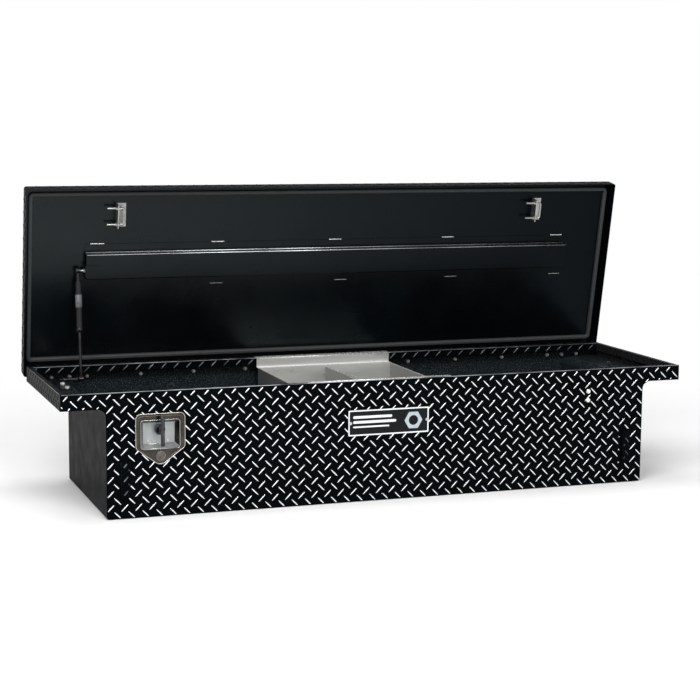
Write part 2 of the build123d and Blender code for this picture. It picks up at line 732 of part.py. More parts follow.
def ball_stud(ball_x, end_x, centre):
    """A ball and its shank as one turned piece along X, at the given (y, z)."""
    way = math.copysign(1, end_x - ball_x)
    neck = way * math.sqrt(ball_radius ** 2 - stud_radius ** 2)
    arc = ThreePointArc((-way * ball_radius, 0), (0, ball_radius), (neck, stud_radius))
    shank = Polyline((neck, stud_radius), (end_x - ball_x, stud_radius), (end_x - ball_x, 0), (-way * ball_radius, 0))
    turned = revolve(make_face(Curve() + [arc, shank]), Axis.X)
    return Pos(ball_x, *centre) * turned


def strut_upper_stud():
    stud = ball_stud(strut_x, stiffener_left + 3, strut_upper)
    return stud + hex_x((stiffener_left - 7, stiffener_left - 3), *strut_upper, 10)


def socket():
    """Ball socket body, a short round block across the strut."""
    body = Rot(0, 90, 0) * Cylinder(8, 14)
    return fillet(body.edges(), 2)


def strut_cylinder():
    body = socket() + Pos(0, 0, -18) * Cylinder(5, 26)
    tube = Pos(0, 0, -100.5) * Cylinder(9, 141)
    tube = fillet(tube.edges(), 2)
    body += tube
    body -= Pos(0, 0, -100) * Cylinder(7, 130)
    body -= Pos(0, 0, -168) * Cylinder(4.0 + running, 14)
    body -= Sphere(ball_radius + running)
    body -= Pos(6, 0, 0) * Rot(0, 90, 0) * Cylinder(4, 8)
    return along_strut(body)


def strut_rod():
    low = -strut_length
    piston_z = -157.0
    rod_top = piston_z + 4
    rod = Pos(0, 0, (rod_top + low + 8) / 2) * Cylinder(4, rod_top - low - 8)
    piston = Pos(0, 0, piston_z) * Cylinder(7 - running, 8)
    fitting = Pos(0, 0, low + 15) * Cylinder(5.5, 20)
    return along_strut(rod + piston + fitting + Pos(0, 0, low) * socket())


def strut_lower_bracket():
    """Angle bracket bolted to the left wing floor."""
    top = saddle_height + sheet
    foot = block((-826, -797), (60, 212), (top, top + 2.5))
    leg = block((-799.5, -797), (188, 212), (top, top + 15))
    bracket = foot + leg - round_x((-801, -795), *strut_lower, stud_radius)
    for y in (79.0, 145.0):
        bracket -= round_z(-808, y, (top - 1, top + 4), 3.2)
    return bracket


def strut_lower_stud():
    ball_x = strut_x - 7.4 - ball_radius
    stud = ball_stud(ball_x, -804, strut_lower)
    return stud + hex_x((-797, -793), *strut_lower, 7.5)


def strut_bracket_bolts():
    top = saddle_height + sheet + 2.5
    bolts = []
    for y in (79.0, 145.0):
        bolts.append(hex_z(-808, y, (top, top + 5), 11) + round_z(-808, y, (top - 2.5, top), 3.15))
    return bolts


# ---------------------------------------------------------------- sliding tray
def tray_pan():
    outer = block((tray_left, tray_right), (tray_front, tray_back), (tray_bottom, tray_top))
    inner = block((tray_left + tray_sheet, tray_right - tray_sheet),
                  (tray_front + tray_sheet, tray_back - tray_sheet), (tray_bottom + tray_sheet, tray_top + 1))
    return outer - inner


def tray_divider():
    x = (tray_left + tray_right) / 2
    y = (tray_front + tray_sheet, tray_back - tray_sheet)
    base = tray_bottom + tray_sheet
    return block((x, x + tray_sheet), y, (base, tray_top - 3)) + block((x, x + 14), y, (base, base + tray_sheet))


def tray_hanger(y_wall, y_rim, reach):
    """Z-shaped strip that hooks one long side of the tray over the rim."""
    span = (tray_left, tray_right)
    outward = math.copysign(1, y_rim)
    upright = sorted((y_rim - outward * 1.6, y_rim))
    ledge = sorted((y_wall, y_rim))
    lip = sorted((y_rim - outward * 1.6, y_rim + outward * reach))
    z_lip = overall_height + 0.2
    strip = block(span, ledge, (tray_top, tray_top + tray_sheet))
    strip += block(span, upright, (tray_top, z_lip + tray_sheet))
    return strip + block(span, lip, (z_lip, z_lip + tray_sheet))


# ---------------------------------------------------------------- write every piece
def main():
    os.makedirs("parts", exist_ok=True)
    save("front_panel", front_panel())
    save("back_panel", back_panel())
    save("tub_floor", tub_floor())
    for name, side in (("left", -1), ("right", 1)):
        save(name + "_end_wall", end_wall(side))
        save(name + "_saddle_floor", saddle_floor(side))
        save(name + "_saddle_end", saddle_end(side))
    save("badge_plate", badge_plate())
    save("badge_rivets", *badge_rivets())

    save("latch_dish", latch_dish())
    save("recess_rivets", *recess_rivets())
    save("handle_spindle", handle_spindle())
    save("handle_pin", handle_pin())
    save("t_handle", t_handle())
    save("spindle_lever", spindle_lever())
    save("lock_housing", lock_housing())
    save("lock_plug", lock_plug())
    save("lock_cam", lock_cam())
    save("connecting_rod", connecting_rod())
    save("rod_drive_plate", rod_drive_plate())
    save("rod_guides", *rod_guides())
    save("left_latch_bracket", left_latch_bracket())
    save("right_latch_bracket", right_latch_bracket())
    save("slave_latch_bolts", *slave_latch_bolts())

    for name, bar_x in (("left", left_bar_x), ("right", right_bar_x)):
        save(name + "_latch_pawl", pawl(bar_x))
        save(name + "_latch_trigger", trigger(bar_x))
        save(name + "_latch_pins", *latch_pins(bar_x))
        save(name + "_striker_bracket", opened(striker_bracket(bar_x)))
        save(name + "_striker_bolt", opened(striker_bolt(bar_x)))
        save(name + "_striker_nuts", *[opened(nut) for nut in striker_nuts(bar_x)])
        save(name + "_striker_screws", *[opened(screw) for screw in striker_screws(bar_x)])

    save("hinge_body_leaf", hinge_body_leaf())
    save("hinge_lid_leaf", opened(hinge_lid_leaf()))
    save("hinge_pin", hinge_pin())
    save("hinge_bolts", *hinge_bolts())
    save("hinge_nuts", *hinge_nuts())
    save("hinge_rivets", *hinge_rivets())

    save("lid_skin", opened(lid_skin()))
    save("lid_stiffener", opened(lid_stiffener()))
    save("lid_seal", opened(lid_seal()))
    save("strut_upper_bracket", opened(strut_upper_bracket()))
    save("strut_upper_stud", opened(strut_upper_stud()))
    save("strut_cylinder", strut_cylinder())
    save("strut_rod", strut_rod())
    save("strut_lower_bracket", strut_lower_bracket())
    save("strut_lower_stud", strut_lower_stud())
    save("strut_bracket_bolts", *strut_bracket_bolts())

    save("tray_pan", tray_pan())
    save("tray_divider", tray_divider())
    save("tray_back_hanger", tray_hanger(tray_back - tray_sheet, back - rear_lip - 1.6, 22))
    save("tray_front_hanger", tray_hanger(tray_front + tray_sheet, front + front_lip + 1, 11))

    print("strut length", round(strut_length, 2), "upper ball", upper_open, "lean", round(strut_lean, 3))
    print("rod travel", round(rod_travel, 3), "trigger swing", round(trigger_swing, 3))


main()
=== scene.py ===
"""Looks of the truck tool box: tread plate, coated sheet, stainless latch and bare tray."""
import json
import math

import bpy
import bmesh
from mathutils import Matrix, Vector
from mathutils.bvhtree import BVHTree


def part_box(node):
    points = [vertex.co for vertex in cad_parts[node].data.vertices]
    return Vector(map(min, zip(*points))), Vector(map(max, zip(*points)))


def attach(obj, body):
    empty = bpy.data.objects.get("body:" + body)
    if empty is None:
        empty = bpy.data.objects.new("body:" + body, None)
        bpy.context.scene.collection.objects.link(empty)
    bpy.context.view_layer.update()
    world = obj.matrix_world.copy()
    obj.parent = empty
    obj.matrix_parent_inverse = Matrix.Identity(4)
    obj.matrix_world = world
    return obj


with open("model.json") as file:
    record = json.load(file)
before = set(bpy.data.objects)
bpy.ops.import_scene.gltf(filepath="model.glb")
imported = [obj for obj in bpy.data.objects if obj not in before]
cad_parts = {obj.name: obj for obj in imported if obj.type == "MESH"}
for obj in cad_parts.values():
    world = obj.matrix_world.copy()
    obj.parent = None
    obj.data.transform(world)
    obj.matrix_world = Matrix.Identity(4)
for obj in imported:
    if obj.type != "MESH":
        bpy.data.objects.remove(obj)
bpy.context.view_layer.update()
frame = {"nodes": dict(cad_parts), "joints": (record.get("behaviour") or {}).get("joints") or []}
nodes = frame["nodes"]
scene = bpy.context.scene
scene.view_settings.view_transform = "Standard"


# ------------------------------------------------------------------ the lid's turned frame
lid_joint = next(j for j in frame["joints"] if j["name"] == "lid_hinge")
hinge = Vector(lid_joint["pos_m"])
lid_turn = math.radians(lid_joint["range_deg"][1])
to_open = Matrix.Translation(hinge) @ Matrix.Rotation(-lid_turn, 4, "X") @ Matrix.Translation(-hinge)


# ------------------------------------------------------------------ node helpers
def map_range(tree, value, start, end, low=0.0, high=1.0):
    """A node that takes a value between start and end to one between low and high."""
    span = tree.nodes.new("ShaderNodeMapRange")
    for name, number in (("From Min", start), ("From Max", end), ("To Min", low), ("To Max", high)):
        span.inputs[name].default_value = number
    tree.links.new(value, span.inputs["Value"])
    return span


def noise(tree, vector, scale, detail):
    """A noise texture over a vector; returns its grey value."""
    cloud = tree.nodes.new("ShaderNodeTexNoise")
    cloud.inputs["Scale"].default_value = scale
    cloud.inputs["Detail"].default_value = detail
    tree.links.new(vector, cloud.inputs["Vector"])
    return cloud.outputs["Fac"]


def node_of(tree, kind):
    """The tree's first node of a kind."""
    return next(n for n in tree.nodes if n.type == kind)


# ------------------------------------------------------------------ materials
WEAR_SCALE = 4.3            # the gloss varies this much finer than the colour
SPECK_COLOR = (0.17, 0.21, 0.23, 1)
BUMP_DISTANCE = 0.0006


def shader(name, color, roughness, metallic=0.0, specular=0.5, tint=None, vary=0.5, scale=9.0,
           rough_span=0.08, bump=0.0, bump_scale=700.0, stretch=(1, 1, 1), speck=0.0, speck_scale=2600.0,
           gloss_tint=(1, 1, 1)):
    """Coated or bare metal whose colour, gloss and fine relief vary over the surface."""
    material = bpy.data.materials.new(name)
    material.use_nodes = True
    tree = material.node_tree
    tree.nodes.clear()
    link = tree.links.new
    output = tree.nodes.new("ShaderNodeOutputMaterial")
    body = tree.nodes.new("ShaderNodeBsdfPrincipled")
    body.inputs["Metallic"].default_value = metallic
    body.inputs["Specular IOR Level"].default_value = specular
    body.inputs["Specular Tint"].default_value = (*gloss_tint, 1)
    link(body.outputs[0], output.inputs[0])
    where = tree.nodes.new("ShaderNodeTexCoord")
    mapping = tree.nodes.new("ShaderNodeMapping")
    mapping.inputs["Scale"].default_value = stretch
    link(where.outputs["Object"], mapping.inputs["Vector"])

    ramp = tree.nodes.new("ShaderNodeValToRGB")
    tint = tint or tuple(c * (1 - 0.35 * vary) for c in color)
    ramp.color_ramp.elements[0].position = 0.32
    ramp.color_ramp.elements[0].color = (*tint, 1)
    ramp.color_ramp.elements[1].position = 0.68
    ramp.color_ramp.elements[1].color = (*color, 1)
    link(noise(tree, mapping.outputs[0], scale, 5.0), ramp.inputs["Fac"])
    paint = ramp.outputs["Color"]

    if speck:
        dots = noise(tree, where.outputs["Object"], speck_scale, 2.0)
        cut = map_range(tree, dots, 0.5, 0.72, high=speck)
        mix = tree.nodes.new("ShaderNodeMix")
        mix.data_type = "RGBA"
        mix.inputs["B"].default_value = SPECK_COLOR
        link(cut.outputs[0], mix.inputs["Factor"])
        link(paint, mix.inputs["A"])
        paint = mix.outputs["Result"]
    link(paint, body.inputs["Base Color"])

    wear = noise(tree, mapping.outputs[0], scale * WEAR_SCALE, 6.0)
    span = map_range(tree, wear, 0.3, 0.7, max(0.02, roughness - rough_span), min(1.0, roughness + rough_span))
    link(span.outputs[0], body.inputs["Roughness"])

    if bump:
        lift = tree.nodes.new("ShaderNodeBump")
        lift.inputs["Strength"].default_value = bump
        lift.inputs["Distance"].default_value = BUMP_DISTANCE
        link(noise(tree, mapping.outputs[0], bump_scale, 3.0), lift.inputs["Height"])
        link(lift.outputs[0], body.inputs["Normal"])
    return material


gloss_black = shader("gloss_black_coat", (0.0013, 0.0021, 0.0026), 0.32, specular=0.012, rough_span=0.07,
                     bump=0.12, bump_scale=420)
lid_black = shader("lid_inner_black", (0.0013, 0.0022, 0.0028), 0.25, specular=0.3, tint=(0.0008, 0.0012, 0.0016),
                   scale=2.2, rough_span=0.05, bump=0.1, bump_scale=300, gloss_tint=(0.72, 0.88, 1.0))
inner_black = shader("inside_black_coat", (0.0042, 0.0068, 0.008), 0.4, specular=0.09, scale=26, rough_span=0.12,
                     bump=0.5, bump_scale=260, speck=0.34, speck_scale=310)
floor_black = shader("saddle_floor_coat", (0.0035, 0.0055, 0.0065), 0.5, specular=0.03, scale=26, rough_span=0.1,
                     bump=0.5, bump_scale=260, speck=0.25, speck_scale=310)
wall_grey = shader("end_wall_coat", (0.0062, 0.006, 0.0062), 0.42, specular=0.012, scale=5, rough_span=0.06,
                   bump=0.15, bump_scale=500)
wing_black = shader("wing_end_coat", (0.0085, 0.0075, 0.0078), 0.5, specular=0.05, scale=60, rough_span=0.12,
                    bump=0.5, bump_scale=330, speck=0.2, speck_scale=420)
tread_edge = shader("tread_flank", (0.0013, 0.0021, 0.0026), 0.32, specular=0.05, rough_span=0.05)
tread_bright = shader("tread_machined", (0.97, 0.975, 0.98), 0.27, metallic=1.0, tint=(0.82, 0.83, 0.85), scale=45,
                      rough_span=0.1, bump=0.25, bump_scale=900, stretch=(1, 1, 3))
# A dimmer copy of the bright tread metal: painted shade on the rim and wing rim flanges; on the louvres it stands in
# for bars pressed flatter.
tread_dim = shader("tread_painted_shade_and_pressed", (0.2, 0.215, 0.225), 0.34, metallic=1.0, tint=(0.05, 0.055, 0.06), scale=30,
                   rough_span=0.08)
# Near-black bars of the same plate as the bright front bars: painted shade on the wing ends and the lid's end
# flanges.
tread_shaded_black = shader("tread_painted_shade", (0.0055, 0.005, 0.005), 0.42, specular=0.04, rough_span=0.1, scale=50)
# The polished latch steel is darkened to stand in for the dark surroundings it mirrors: a painted reflection.
dish_steel = shader("latch_polished_dark_reflection", (0.068, 0.061, 0.055), 0.18, metallic=1.0, tint=(0.035, 0.031, 0.028),
                    scale=34, rough_span=0.08, bump=0.3, bump_scale=90)
# A bright copy of the latch steel, for painted highlights along its bends.
dish_highlight_steel = shader("latch_painted_highlight_steel", (0.6, 0.59, 0.56), 0.2, metallic=1.0, tint=(0.55, 0.53, 0.49), scale=40,
                   rough_span=0.06)
bead_steel = shader("latch_bead_steel", (0.15, 0.143, 0.13), 0.2, metallic=1.0, tint=(0.09, 0.084, 0.077), scale=60,
                    rough_span=0.06)
# Lighter steel: the recess floor plates' own light grey, and on the lower lip's upward faces a painted reflection.
recess_floor_and_lip_steel = shader("latch_floor_and_lip_highlight", (0.4, 0.42, 0.42), 0.46, metallic=0.75, tint=(0.31, 0.33, 0.33), scale=55,
                     rough_span=0.08, bump=0.15, bump_scale=900, stretch=(1, 1, 0.15))
# The chrome handle is darkened to stand in for the dark surroundings it mirrors: a painted reflection.
handle_steel = shader("handle_chrome_dark_reflection", (0.085, 0.085, 0.093), 0.22, metallic=1.0, tint=(0.045, 0.045, 0.052),
                      scale=30, rough_span=0.07)
lock_metal = shader("lock_nickel", (0.19, 0.18, 0.165), 0.26, metallic=1.0, tint=(0.09, 0.085, 0.08), scale=160)
zinc = shader("zinc_plated_steel", (0.5, 0.5, 0.48), 0.34, metallic=0.95, tint=(0.3, 0.31, 0.3), scale=90,
              rough_span=0.1, bump=0.3, bump_scale=700)
# A dark copy of the zinc for the latch hardware inside the front: a painted shade of the dark inside.
zinc_shaded = shader("zinc_painted_shade_steel", (0.05, 0.054, 0.056), 0.38, metallic=0.8, tint=(0.02, 0.022, 0.024), scale=90,
                   rough_span=0.1, bump=0.2, bump_scale=800)
# Nuts and bolts lighter than the zinc so that they show bright in the shade: partly their own bright steel, partly a
# painted highlight.
nut_bright = shader("nut_bright_steel", (0.9, 0.9, 0.88), 0.26, metallic=0.35, tint=(0.6, 0.6, 0.58), scale=150,
                    rough_span=0.08)
stainless = shader("stainless_brushed", (0.66, 0.66, 0.65), 0.3, metallic=1.0, tint=(0.5, 0.5, 0.49), scale=30,
                   stretch=(0.1, 1, 1), rough_span=0.08)
bare_aluminium = shader("tray_mill_aluminium", (0.7, 0.7, 0.68), 0.3, metallic=0.75, tint=(0.5, 0.5, 0.485),
                        scale=9, rough_span=0.05, bump=0.06, bump_scale=420, stretch=(0.12, 1, 1))
# A darker copy of the tray aluminium for side-facing faces: a painted shade.
tray_shaded_side = shader("tray_side_painted_shade", (0.36, 0.36, 0.35), 0.36, metallic=0.75, tint=(0.27, 0.27, 0.265), scale=12,
                   rough_span=0.06, bump=0.06, bump_scale=420, stretch=(1, 0.2, 1))
# A brighter copy of the tray aluminium for top faces and edges: a painted highlight.
tray_highlight = shader("tray_painted_highlight", (0.86, 0.86, 0.84), 0.26, metallic=0.7, tint=(0.74, 0.74, 0.72), scale=60,
                   rough_span=0.06)
strut_black = shader("strut_satin_black", (0.0045, 0.005, 0.006), 0.3, specular=0.3, rough_span=0.06)
rod_black = shader("strut_rod_nitrided", (0.03, 0.03, 0.033), 0.2, metallic=0.8, tint=(0.018, 0.018, 0.02), scale=60,
                   rough_span=0.04)
label_film = shader("strut_label_film", (0.13, 0.137, 0.147), 0.5, specular=0.4, tint=(0.06, 0.065, 0.07), scale=170)
rubber = shader("seal_sponge_rubber", (0.03, 0.0315, 0.033), 0.58, specular=0.35, scale=120, rough_span=0.1,
                bump=0.6, bump_scale=1100)
badge_dark = shader("badge_dark_field", (0.005, 0.0065, 0.0075), 0.35, specular=0.12, scale=60, rough_span=0.06,
                    bump=0.1, bump_scale=900)
badge_light = shader("badge_bright_metal", (0.84, 0.86, 0.88), 0.4, metallic=0.6, tint=(0.72, 0.75, 0.78), scale=80,
                     rough_span=0.08)
badge_grey = shader("badge_grey_print", (0.42, 0.46, 0.5), 0.45, specular=0.4, tint=(0.34, 0.38, 0.42), scale=200)
weld_metal = shader("weld_bead_metal", (0.9, 0.9, 0.87), 0.28, metallic=0.8, tint=(0.25, 0.26, 0.27), scale=260,
                    bump=0.8, bump_scale=900)
bend_sheen = shader("bend_highlight_coat", (0.75, 0.77, 0.8), 0.26, metallic=0.95, tint=(0.3, 0.31, 0.33), scale=5,
                    rough_span=0.08)


def painted_reflection_falloff(material, left, right):
    """Painted shade across the lid: the coat's reflection is painted to fall off from one end to the other."""
    tree = material.node_tree
    body = node_of(tree, "BSDF_PRINCIPLED")
    axes = tree.nodes.new("ShaderNodeSeparateXYZ")
    tree.links.new(node_of(tree, "TEX_COORD").outputs["Object"], axes.inputs[0])
    span = map_range(tree, axes.outputs["X"], -0.9, 0.9)
    ramp = tree.nodes.new("ShaderNodeValToRGB")
    ramp.color_ramp.elements[0].color = (*left, 1)
    ramp.color_ramp.elements[1].color = (*right, 1)
    tree.links.new(span.outputs[0], ramp.inputs["Fac"])
    tree.links.new(ramp.outputs["Color"], body.inputs["Specular Tint"])


# The lid's reflection is painted strong at the left end and weak at the right end, a painted shade.
painted_reflection_falloff(lid_black, (0.86, 0.97, 1.0), (0.13, 0.17, 0.2))
finishes = {
    gloss_black: ["front_panel", "back_panel"],
    lid_black: ["strut_upper_bracket", "lid_skin", "lid_stiffener"],
    floor_black: ["tub_floor", "left_saddle_floor", "right_saddle_floor"],
    wall_grey: ["left_end_wall", "right_end_wall"],
    wing_black: ["left_saddle_end", "right_saddle_end"],
    badge_dark: ["badge_plate"],
    dish_steel: ["latch_dish"],
    handle_steel: ["t_handle", "handle_spindle", "handle_pin"],
    lock_metal: ["lock_housing", "lock_plug"],
    stainless: ["badge_rivets", "recess_rivets", "hinge_pin", "hinge_body_leaf", "hinge_lid_leaf"],
    nut_bright: ["hinge_nuts", "hinge_bolts", "strut_bracket_bolts", "slave_latch_bolts"],
    strut_black: ["strut_cylinder", "strut_lower_bracket"],
    zinc_shaded: ["left_latch_pawl", "right_latch_pawl", "left_latch_trigger", "right_latch_trigger",
                "left_latch_bracket", "right_latch_bracket", "left_latch_pins", "right_latch_pins",
                "connecting_rod", "rod_drive_plate", "rod_guides", "strut_lower_stud"],
    bare_aluminium: ["tray_pan", "tray_divider", "tray_back_hanger", "tray_front_hanger"],
    rod_black: ["strut_rod"],
    rubber: ["lid_seal"],
}
dressed = {name: material for material, names in finishes.items() for name in names}
for name, node in nodes.items():
    node.data.materials.clear()
    node.data.materials.append(dressed.get(name, zinc))


def lid_closed_box():
    """Lowest and highest corners of the lid's skin, with the lid closed."""
    points = [to_open.inverted() @ v.co for v in nodes["lid_skin"].data.vertices]
    low = Vector((min(p[i] for p in points) for i in range(3)))
    high = Vector((max(p[i] for p in points) for i in range(3)))
    return low, high


lid_low, lid_high = lid_closed_box()


FACING = 0.5                 # least share of a normal that counts as facing a way
SKIN = 0.003                # depth in which a face belongs to the outer skin


def second_finish(name, material, wanted):
    """Give the faces of a CAD node that a test picks a second material."""
    mesh = nodes[name].data
    mesh.materials.append(material)
    for face in mesh.polygons:
        if wanted(face.center, face.normal):
            face.material_index = len(mesh.materials) - 1


front_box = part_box("front_panel")
back_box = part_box("back_panel")
inner_front = front_box[0].y + 0.0105
second_finish("front_panel", inner_black, lambda c, n: n.y > FACING and c.z < 0.326 and c.y < inner_front)
second_finish("back_panel", inner_black, lambda c, n: n.y < -FACING and c.y > back_box[1].y - SKIN)
for name in ("left_end_wall", "right_end_wall"):
    second_finish(name, inner_black, lambda c, n: n.x * c.x < -0.001 or n.z > 0.3)
dish_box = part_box("latch_dish")
# The tray's side-facing faces take the darker copy of its aluminium, a painted shade.
second_finish("tray_pan", tray_shaded_side, lambda c, n: abs(n.x) > FACING)
second_finish("tray_divider", tray_shaded_side, lambda c, n: abs(n.x) > FACING)
# The hangers' upward faces take the brighter copy of the aluminium, a painted highlight.
second_finish("tray_back_hanger", tray_highlight, lambda c, n: n.z > FACING)
second_finish("tray_front_hanger", tray_highlight, lambda c, n: n.z > FACING)
# The recess floor takes its plates' lighter steel; the lower lip's upward faces take it as a painted reflection.
second_finish("latch_dish", recess_floor_and_lip_steel, lambda c, n: (c.y > dish_box[0].y + 0.015 and n.y < -FACING)
              or (c.z < 0.1895 and c.y > dish_box[0].y + 0.0025 and n.z > 0.4))


def outside_of_lid(c, n):
    """Faces of the lid's outer skin, judged on the closed lid."""
    place = to_open.inverted() @ c
    facing = to_open.inverted().to_3x3() @ n
    if facing.z > 0.3:
        return True
    return ((facing.y < -FACING and place.y < lid_low.y + SKIN)
            or (facing.y > FACING and place.y > lid_high.y - SKIN)
            or (abs(facing.x) > FACING and abs(place.x) > lid_high.x - SKIN))


second_finish("lid_skin", gloss_black, outside_of_lid)


# ------------------------------------------------------------------ mesh helpers
def piece(name, bm, material, body, smooth=True):
    """Make an object of a mesh and let it ride on a body."""
    mesh = bpy.data.meshes.new(name)
    bm.normal_update()
    bm.to_mesh(mesh)
    bm.free()
    for entry in (material if isinstance(material, list) else [material]):
        mesh.materials.append(entry)
    if smooth:
        mesh.polygons.foreach_set("use_smooth", [True] * len(mesh.polygons))
    made = bpy.data.objects.new(name, mesh)
    scene.collection.objects.link(made)
    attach(made, body)
    return made


def join_rings(bm, a, b):
    """A band of four-sided faces between two rings of vertices; returns the faces."""
    count = len(a)
    return [bm.faces.new((a[k], a[(k + 1) % count], b[(k + 1) % count], b[k])) for k in range(count)]


def add_ring_tube(bm, path, radius, sides=8, closed=True):
    """A round bead along a path of points."""
    rings = []
    count = len(path)
    for i, point in enumerate(path):
        before = path[i - 1] if (closed or i) else path[i]
        after = path[(i + 1) % count] if (closed or i < count - 1) else path[i]
        along = (after - before).normalized()
        side = along.cross(Vector((0, 1, 0)))
        side = side.normalized() if side.length > 1e-6 else Vector((1, 0, 0))
        up = side.cross(along).normalized()
        ring = []
        for k in range(sides):
            angle = 2 * math.pi * k / sides
            ring.append(bm.verts.new(point + side * (radius * math.cos(angle)) + up * (radius * math.sin(angle))))
        rings.append(ring)
    last = count if closed else count - 1
    for i in range(last):
        join_rings(bm, rings[i], rings[(i + 1) % count])
    if not closed:
        bm.faces.new(list(reversed(rings[0])))
        bm.faces.new(rings[-1])


def add_slab(bm, outline, y_front, y_back, bevel):
    """A flat raised shape facing -Y with a bevelled front edge; the outline is (x, z) points."""
    centre = Vector((sum(p[0] for p in outline) / len(outline), 0, sum(p[1] for p in outline) / len(outline)))
    levels = ((y_back, 0.0), (y_front + bevel, 0.0), (y_front, bevel))
    rings = []
    for y, shrink in levels:
        ring = []
        for x, z in outline:
            out = Vector((x, 0, z)) - centre
            place = centre + out * (1 - shrink / max(out.length, 1e-6))
            ring.append(bm.verts.new((place.x, y, place.z)))
        rings.append(ring)
    for a, b in zip(rings, rings[1:]):
        join_rings(bm, a, b)
    bm.faces.new(rings[-1])


# ------------------------------------------------------------------ tread bars
PITCH = 0.0368              # from one bar to the next of its family
HALF_LENGTH = 0.0139
HALF_WIDTH = 0.0034
HEIGHT = 0.0012
STEPS = 4                   # segments along a bar
SAMPLES = 24                # points of a bar's centre line tested against the sheet
SHORTEST = 0.006            # a clipped bar shorter than this is left out
EDGE_MARGIN = 0.0012        # bars stay this far inside the sheet's edge
BAR_LEVELS = ((-0.0002, 1.0, 0.0), (0.78 * HEIGHT, 0.46, 0.0016), (HEIGHT, 0.3, 0.0026))  # height, width, shortening


def clipped_span(inside, u, v, direction):
    """The part of a bar's centre line that lies on the sheet, or None."""
    ok = []
    for k in range(SAMPLES + 1):
        a = HALF_LENGTH * (2 * k / SAMPLES - 1)
        ok.append(inside(u + direction[0] * a, v + direction[1] * a))
    if not any(ok):
        return None
    runs, start = [], None
    for k, good in enumerate(ok + [False]):
        if good and start is None:
            start = k
        if not good and start is not None:
            runs.append((start, k - 1))
            start = None
    low, high = max(runs, key=lambda run: run[1] - run[0])
    low = HALF_LENGTH * (2 * low / SAMPLES - 1)
    high = HALF_LENGTH * (2 * high / SAMPLES - 1)
    return (low, high) if high - low > SHORTEST else None


def tread_field(bm, place, size, phase, inside):
    """Two crossed families of bars over a rectangle; place(u, v, h) gives the 3-D point."""
    columns = int(size[0] / PITCH) + 3
    rows = int(size[1] / PITCH) + 3
    for shift, slope in ((0.0, 1), (0.5, -1)):
        direction = (math.sqrt(0.5), slope * math.sqrt(0.5))
        across = (-direction[1], direction[0])
        for i in range(-2, columns):
            for j in range(-2, rows):
                u = phase[0] + (i + shift) * PITCH
                v = phase[1] + (j + shift) * PITCH
                span = clipped_span(inside, u, v, direction)
                if span is None:
                    continue
                rings = []
                for height, narrow, shorten in BAR_LEVELS:
                    low, high = span[0] + shorten, span[1] - shorten
                    edge = []
                    for k in range(STEPS + 1):
                        a = low + (high - low) * k / STEPS
                        swell = max(0.0, 1 - (a / (HALF_LENGTH + 0.0004)) ** 2) ** 0.62
                        edge.append((a, HALF_WIDTH * narrow * max(swell, 0.12)))
                    ring = []
                    for a, b in edge + [(a, -b) for a, b in reversed(edge)]:
                        x = u + direction[0] * a + across[0] * b
                        y = v + direction[1] * a + across[1] * b
                        ring.append(bm.verts.new(place(x, y, height)))
                    rings.append(ring)
                for level, (low_ring, high_ring) in enumerate(zip(rings, rings[1:])):
                    for face in join_rings(bm, low_ring, high_ring):
                        face.material_index = level
                bm.faces.new(rings[-1]).material_index = 1


def within(u_range, v_range, margin=EDGE_MARGIN):
    """A test for points inside a rectangle, less a margin."""
    return lambda u, v: (u_range[0] + margin <= u <= u_range[1] - margin
                         and v_range[0] + margin <= v <= v_range[1] - margin)


half_length = front_box[1].x
rim_z = front_box[1].z
front_y = -0.254
back_y = back_box[1].y
tub_face = 0.773            # outer face of the tub between the wings
wing_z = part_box("right_saddle_floor")[0].z
WING_BEND = 0.022           # radius of the bend between the tub and each wing
bend_x = tub_face + WING_BEND
dish_mid = (dish_box[0].x + dish_box[1].x) / 2
badge_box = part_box("badge_plate")
louvre_span = ((-0.735, -0.708), (0.709, 0.736))
louvre_height = (0.058, 0.150)


def on_t_shape(x, z, top=0.003):
    """Inside the T of the front and back panels, with its rounded inner corners."""
    margin = EDGE_MARGIN
    side = abs(x)
    if side > half_length - margin or z > rim_z - top or z < margin:
        return False
    if side <= tub_face - margin or z >= wing_z + margin:
        return True
    return (side < bend_x and z > wing_z - WING_BEND
            and math.hypot(side - bend_x, z - (wing_z - WING_BEND)) >= WING_BEND + margin)


def on_dish(x, z):
    """Behind the shield-shaped latch plate."""
    side = abs(x - dish_mid)
    low = dish_box[0].z + side * 0.74
    return side < 0.061 and z < dish_box[1].z - 0.005 and z > low + 0.006


def on_front(x, z):
    """On the flat of the front, clear of the latch plate, badge and louvres."""
    if not on_t_shape(x, z) or on_dish(x, z):
        return False
    if (badge_box[0].x + 0.003 < x < badge_box[1].x - 0.003
            and badge_box[0].z + 0.003 < z < badge_box[1].z - 0.003):
        return False
    for low, high in louvre_span:
        if low - 0.004 < x < high - 0.003 and louvre_height[0] - 0.003 < z < louvre_height[1] + 0.003:
            return False
    return True


def on_louvre(x, z):
    """On one of the two pressed louvres."""
    if not louvre_height[0] + 0.004 < z < louvre_height[1] - 0.004:
        return False
    return any(low + 0.004 < x < high - 0.003 for low, high in louvre_span)


front_tree = BVHTree.FromObject(nodes["front_panel"], bpy.context.evaluated_depsgraph_get())


def front_place(x, z, h):
    """Follow the pressed louvres as well as the flat sheet."""
    hit = front_tree.ray_cast(Vector((x, -0.3, z)), Vector((0, 1, 0)))
    y = hit[0].y if hit[0] is not None and hit[0].y < front_y + 0.0005 else front_y
    return (x, y - h, z)


